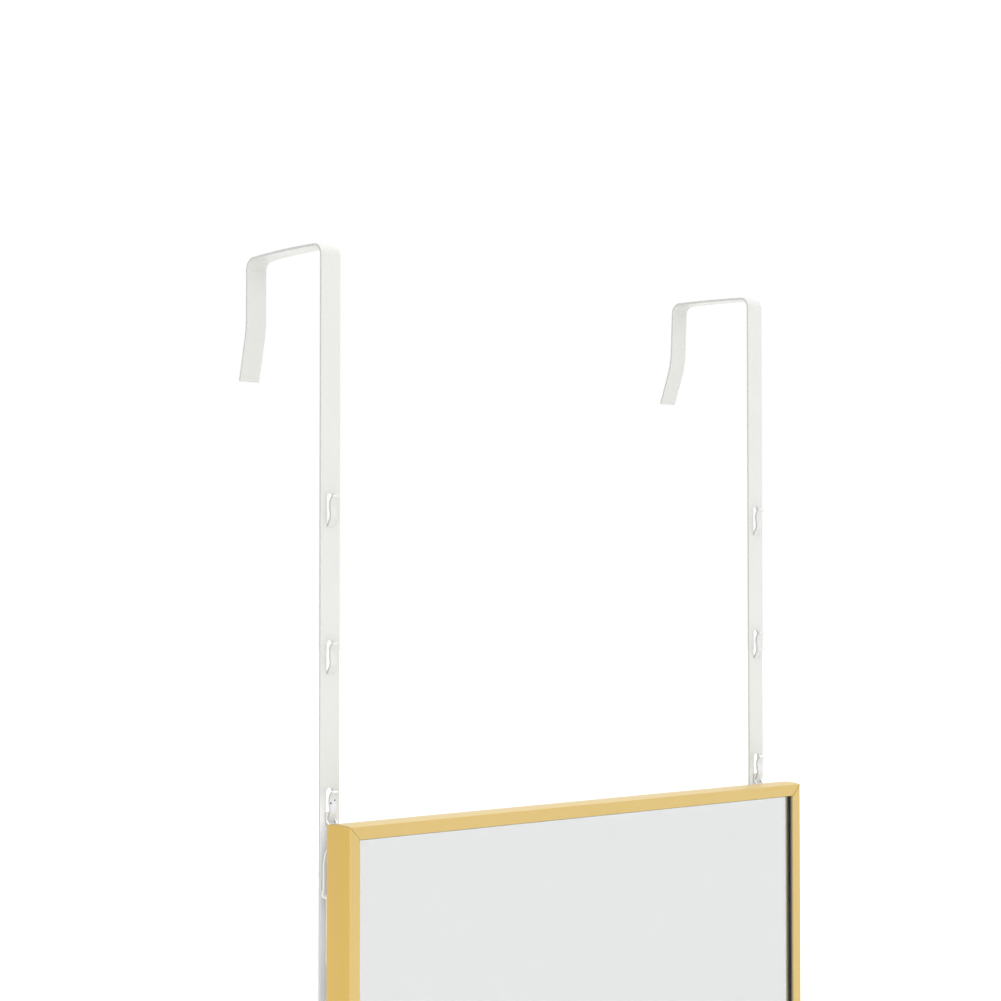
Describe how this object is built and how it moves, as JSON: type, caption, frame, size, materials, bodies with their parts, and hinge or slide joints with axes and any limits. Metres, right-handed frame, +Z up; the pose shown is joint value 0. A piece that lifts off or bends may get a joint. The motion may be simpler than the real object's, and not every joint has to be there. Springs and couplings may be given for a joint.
{
  "type": "over the door mirror",
  "caption": "Tall framed mirror that hangs from flat steel straps hooked over the top of a door; it lifts off bent-out tongues and can be hung at other heights.",
  "frame": {"origin": "level with the underside of the hooks at their front bends, midway between the two straps, at the door's front face", "axes": "+X to the right seen from the room, +Y through the door away from the room, +Z up; the mirror faces -Y"},
  "size_m": [0.3064, 0.0848, 1.4732],
  "materials": {
    "white_coat": "satin white powder coat on steel",
    "gold_rail": "satin champagne-gold coated aluminium extrusion",
    "zinc_steel": "bright zinc plated",
    "dark_steel": "dull phosphated steel",
    "black_tape": "matt foam tape",
    "clear_glass": "polished float glass",
    "silvering": "silvered, painted behind",
    "foam_sheet": "thin expanded foam",
    "hardboard": "plain brown hardboard",
    "spring_steel": "blued spring steel",
    "grey_rubber": "matt"
  },
  "bodies": {
    "door_hooks": {"hook_strap_left": "white_coat", "hook_strap_right": "white_coat"},
    "mirror": {"hanger_left": "white_coat", "hanger_right": "white_coat", "hanger_screws": "zinc_steel", "nut_plate_left": "zinc_steel", "nut_plate_right": "zinc_steel", "rail_top": "gold_rail", "rail_bottom": "gold_rail", "rail_left": "gold_rail", "rail_right": "gold_rail", "corner_key_top_left": "dark_steel", "corner_key_top_right": "dark_steel", "corner_key_bottom_left": "dark_steel", "corner_key_bottom_right": "dark_steel", "corner_set_screws": "zinc_steel", "glazing_tape": "black_tape", "mirror_glass": "clear_glass", "silver_coating": "silvering", "cushion_sheet": "foam_sheet", "backing_board": "hardboard", "spring_clips": "spring_steel", "bumper_left": "grey_rubber", "bumper_right": "grey_rubber"}
  },
  "joints": [
    {"name": "mirror_lift", "type": "slide", "parent": "door_hooks", "child": "mirror", "axis": [0, 0, 1], "range_m": [0, 0.011]}
  ]
}
